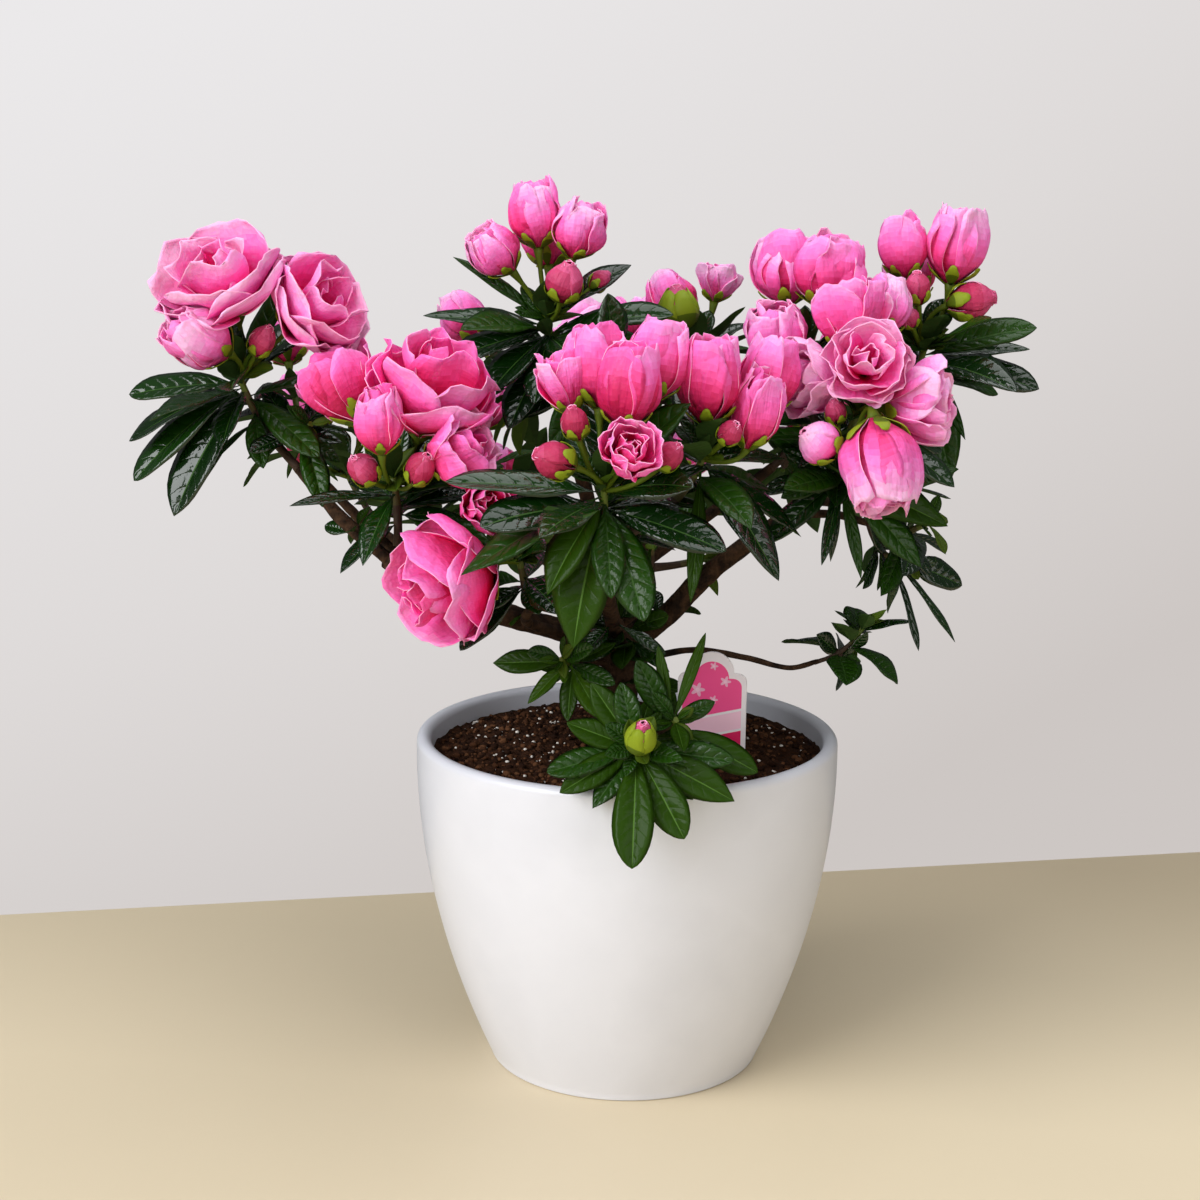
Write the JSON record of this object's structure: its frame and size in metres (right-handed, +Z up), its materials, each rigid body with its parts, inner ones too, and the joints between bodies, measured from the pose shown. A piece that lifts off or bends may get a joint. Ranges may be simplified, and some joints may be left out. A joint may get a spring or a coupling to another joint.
{
  "type": "potted azalea shrub",
  "caption": "Small azalea shrub in bloom: a short trunk forks into wide boughs with leaf whorls and double pink flowers, in a round white pot.",
  "frame": {"origin": "centre of the pot's flat underside", "axes": "+Z up out of the pot, -Y the side that is seen from the front, +X to the viewer's right"},
  "size_m": [0.3141, 0.2504, 0.3128],
  "materials": {
    "bark": "matte",
    "foliage_and_blossom": "satin",
    "pot_glaze": "satin",
    "soil": "matte",
    "label_plastic": "satin"
  },
  "bodies": {
    "root": {"back": "foliage_and_blossom", "back_high": "foliage_and_blossom", "back_left": "foliage_and_blossom", "back_right": "foliage_and_blossom", "bough_back": "bark", "bough_back_high": "bark", "bough_back_left": "bark", "bough_back_right": "bark", "bough_front": "bark", "bough_inner_left": "bark", "bough_left": "bark", "bough_left_front": "bark", "bough_left_high": "bark", "bough_left_twin": "bark", "bough_right": "bark", "bough_right_front": "bark", "bough_right_high": "bark", "bough_right_low": "bark", "bough_side_left": "bark", "bough_side_right": "bark", "bough_top": "bark", "front": "foliage_and_blossom", "inner_left": "foliage_and_blossom", "inner_low": "foliage_and_blossom", "left_crown": "foliage_and_blossom", "left_front": "foliage_and_blossom", "left_inner": "foliage_and_blossom", "low_front": "foliage_and_blossom", "low_left": "foliage_and_blossom", "low_right": "foliage_and_blossom", "plant_label": "label_plastic", "pot": "pot_glaze", "right_front": "foliage_and_blossom", "right_high": "foliage_and_blossom", "right_low": "foliage_and_blossom", "side_left": "foliage_and_blossom", "side_right": "foliage_and_blossom", "soil": "soil", "top": "foliage_and_blossom", "trunk": "bark", "twig_inner": "bark", "twig_low_front": "bark", "twig_low_left": "bark", "twig_low_right": "bark"}
  },
  "joints": []
}
